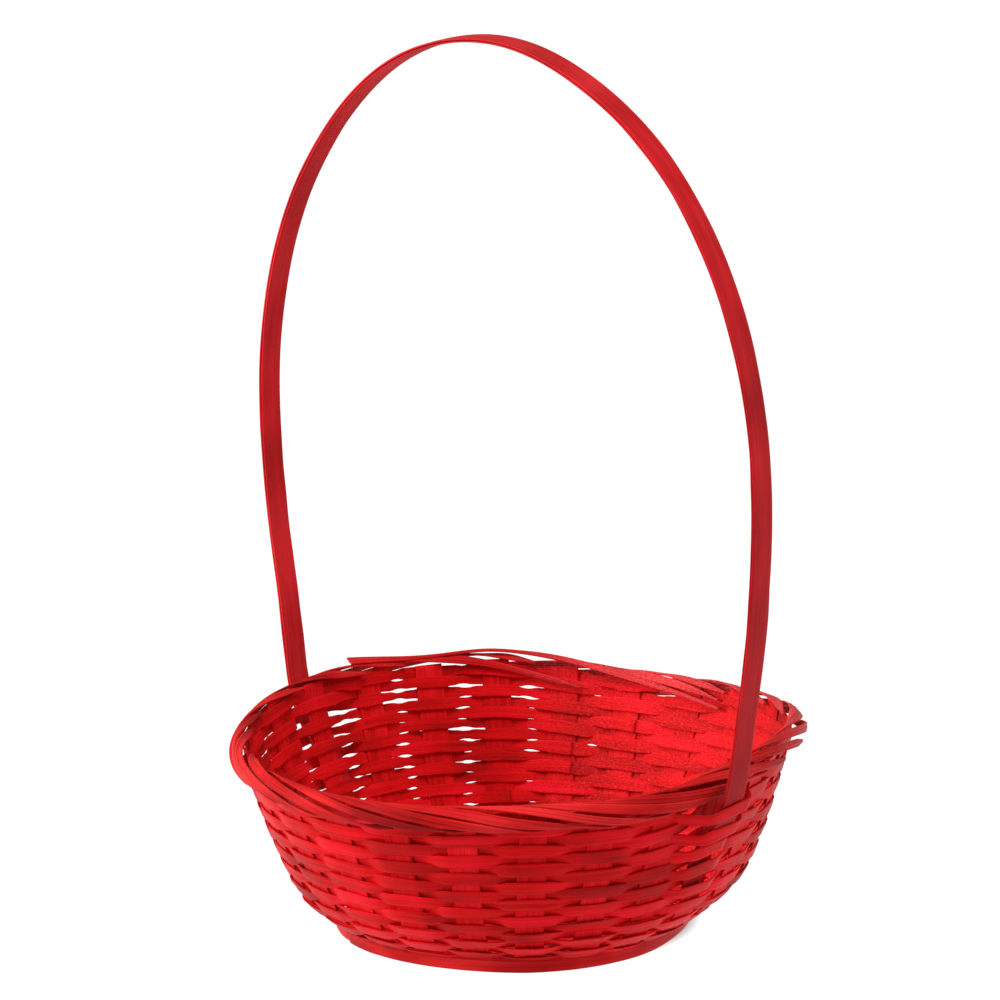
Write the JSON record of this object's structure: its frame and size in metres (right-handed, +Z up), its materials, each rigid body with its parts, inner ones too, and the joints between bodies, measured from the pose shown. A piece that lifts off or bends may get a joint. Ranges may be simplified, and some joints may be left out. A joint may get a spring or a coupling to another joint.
{
  "type": "egg collection basket",
  "caption": "Round woven split-bamboo egg basket dyed red, with a rolled border of crossing strips, a low foot ring and a tall fixed hoop handle.",
  "frame": {"origin": "centre of the footprint at floor level, on the bowl's own axis", "axes": "+Z up the bowl's axis to the top of the hoop; the hoop handle lies in the XZ plane with its ends at +X and -X; +Y across the handle"},
  "size_m": [0.3573, 0.2976, 0.4701],
  "materials": {
    "stake_split": "satin dyed bamboo",
    "weaver_split": "satin dyed bamboo",
    "rim_split": "satin dyed bamboo",
    "handle_split": "satin dyed bamboo"
  },
  "bodies": {
    "root": {"rib_01": "stake_split", "rib_02": "stake_split", "rib_03": "stake_split", "rib_04": "stake_split", "rib_05": "stake_split", "rib_06": "stake_split", "rib_07": "stake_split", "rib_08": "stake_split", "rib_09": "stake_split", "rib_10": "stake_split", "rib_11": "stake_split", "rib_12": "stake_split", "wall_weaver_01": "weaver_split", "wall_weaver_02": "weaver_split", "wall_weaver_03": "weaver_split", "wall_weaver_04": "weaver_split", "wall_weaver_05": "weaver_split", "wall_weaver_06": "weaver_split", "wall_weaver_07": "weaver_split", "wall_weaver_08": "weaver_split", "wall_weaver_09": "weaver_split", "wall_weaver_10": "weaver_split", "wall_weaver_11": "weaver_split", "wall_weaver_12": "weaver_split", "wall_weaver_13": "weaver_split", "wall_weaver_14": "weaver_split", "wall_weaver_15": "weaver_split", "wall_weaver_16": "weaver_split", "wall_weaver_17": "weaver_split", "wall_weaver_18": "weaver_split", "base_weaver_1": "weaver_split", "base_weaver_2": "weaver_split", "foot_ring": "rim_split", "border_strip_01": "rim_split", "border_strip_02": "rim_split", "border_strip_03": "rim_split", "border_strip_04": "rim_split", "border_strip_05": "rim_split", "border_strip_06": "rim_split", "border_strip_07": "rim_split", "border_strip_08": "rim_split", "border_strip_09": "rim_split", "border_strip_10": "rim_split", "border_strip_11": "rim_split", "border_strip_12": "rim_split", "border_strip_13": "rim_split", "border_strip_14": "rim_split", "border_strip_15": "rim_split", "border_strip_16": "rim_split", "border_strip_17": "rim_split", "border_strip_18": "rim_split", "border_strip_19": "rim_split", "border_strip_20": "rim_split", "border_strip_21": "rim_split", "border_strip_22": "rim_split", "border_strip_23": "rim_split", "border_strip_24": "rim_split", "handle_band_inner": "handle_split", "handle_band_outer": "handle_split"}
  },
  "joints": []
}
